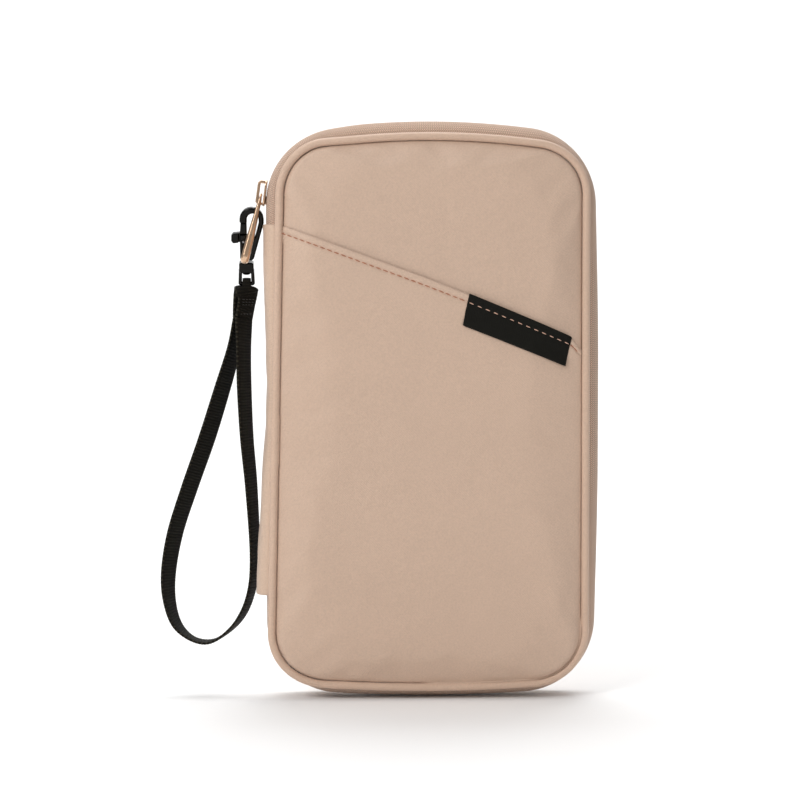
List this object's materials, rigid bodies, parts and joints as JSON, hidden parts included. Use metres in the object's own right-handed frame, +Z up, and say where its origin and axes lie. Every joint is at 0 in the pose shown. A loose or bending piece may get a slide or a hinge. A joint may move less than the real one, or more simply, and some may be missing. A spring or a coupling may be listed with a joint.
{
  "type": "travel wallet",
  "caption": "Slim zip-around travel wallet with a padded shell, a diagonal slash pocket on the front and a flat wrist strap clipped to the zip pull.",
  "frame": {"origin": "middle of the back panel's flat outer face", "axes": "+Z up along the wallet's height, -Y out of the front panel, +X to the right seen from the front, with the spine and the strap on the -X side"},
  "size_m": [0.1763, 0.028, 0.2316],
  "materials": {
    "shell_fabric": "rose-beige satin-twill polyester, padded, with a soft sheen",
    "lining_fabric": "plain-weave polyester lining, a shade darker than the shell",
    "foam": "thin closed-cell padding foam, hidden between panel and lining",
    "zip_tape": "knitted zip tape, dyed to match the shell",
    "zip_coil": "nylon coil teeth, dyed to match the shell",
    "label_weave": "black woven label, plain, with no lettering",
    "rose_metal": "rose-gold plated zinc alloy, satin",
    "black_metal": "glossy black electroplated zinc alloy",
    "spring_steel": "bright steel pin and spring",
    "strap_webbing": "black ribbed polyester webbing"
  },
  "bodies": {
    "back_cover": {"back_panel": "shell_fabric", "back_foam": "foam", "back_lining": "lining_fabric", "back_piping": "shell_fabric", "back_zip_tape": "zip_tape", "back_zip_coil": "zip_coil", "ticket_pocket": "lining_fabric", "passport_pocket": "lining_fabric"},
    "front_cover": {"front_panel": "shell_fabric", "front_foam": "foam", "front_lining": "lining_fabric", "front_piping": "shell_fabric", "front_zip_tape": "zip_tape", "front_zip_coil": "zip_coil", "note_pocket": "lining_fabric", "card_pocket_1": "lining_fabric", "card_pocket_2": "lining_fabric", "card_pocket_3": "lining_fabric", "card_pocket_4": "lining_fabric", "front_slash_pocket": "shell_fabric", "pocket_label": "label_weave"},
    "spine": {"spine_cover": "shell_fabric", "spine_lining": "lining_fabric", "back_zip_tape_end": "zip_tape", "back_zip_coil_end": "zip_coil", "front_zip_tape_end": "zip_tape", "front_zip_coil_end": "zip_coil", "back_zip_tape_start": "zip_tape", "back_zip_coil_start": "zip_coil", "front_zip_tape_start": "zip_tape", "front_zip_coil_start": "zip_coil"},
    "zip_slider": {"zip_slider": "rose_metal", "slider_bridge": "rose_metal"},
    "pull_tab": {"pull_tab": "rose_metal"},
    "clasp": {"clasp_hook": "black_metal", "gate_pin": "spring_steel", "gate_spring": "spring_steel", "swivel_rivet": "black_metal"},
    "clasp_gate": {"clasp_gate": "black_metal"},
    "swivel_loop": {"swivel_loop": "black_metal"},
    "wrist_strap": {"strap_fold": "strap_webbing", "wrist_strap": "strap_webbing"}
  },
  "joints": [
    {"name": "spine_fold", "type": "hinge", "parent": "back_cover", "child": "spine", "pos_m": [-0.062, -0.002, 0], "axis": [0, 0, -1], "range_deg": [0, 90]},
    {"name": "cover_fold", "type": "hinge", "parent": "spine", "child": "front_cover", "pos_m": [-0.062, -0.022, 0], "axis": [0, 0, -1], "range_deg": [0, 90]},
    {"name": "zip_travel", "type": "hinge", "parent": "spine", "child": "zip_slider", "pos_m": [-0.0364, -0.012, 0.08351], "axis": [0, -1, 0], "range_deg": [-60, 0]},
    {"name": "pull_swing", "type": "hinge", "parent": "zip_slider", "child": "pull_tab", "pos_m": [-0.0683, -0.0127, 0.08705], "axis": [0, 1, 0], "range_deg": [0, 140]},
    {"name": "clasp_swing", "type": "hinge", "parent": "pull_tab", "child": "clasp", "pos_m": [-0.0722, -0.01322, 0.0803], "axis": [1, 0, 0], "range_deg": [0, 30]},
    {"name": "gate_press", "type": "hinge", "parent": "clasp", "child": "clasp_gate", "pos_m": [-0.0756, -0.00883, 0.06854], "axis": [0, 0.9367, 0.3502], "range_deg": [0, 10], "stiffness_Nm_per_rad": 0.02, "springref_deg": -11.46},
    {"name": "swivel_turn", "type": "hinge", "parent": "clasp", "child": "swivel_loop", "pos_m": [-0.0746, -0.00456, 0.05828], "axis": [0, -0.3502, 0.9367], "range_deg": [-180, 0]},
    {"name": "strap_swing", "type": "hinge", "parent": "swivel_loop", "child": "wrist_strap", "pos_m": [-0.0746, -0.00204, 0.05153], "axis": [-1, 0, 0], "range_deg": [-60, 40]}
  ],
  "couplings": [
    {"joint": "cover_fold", "follows": "spine_fold", "ratio": 1}
  ]
}
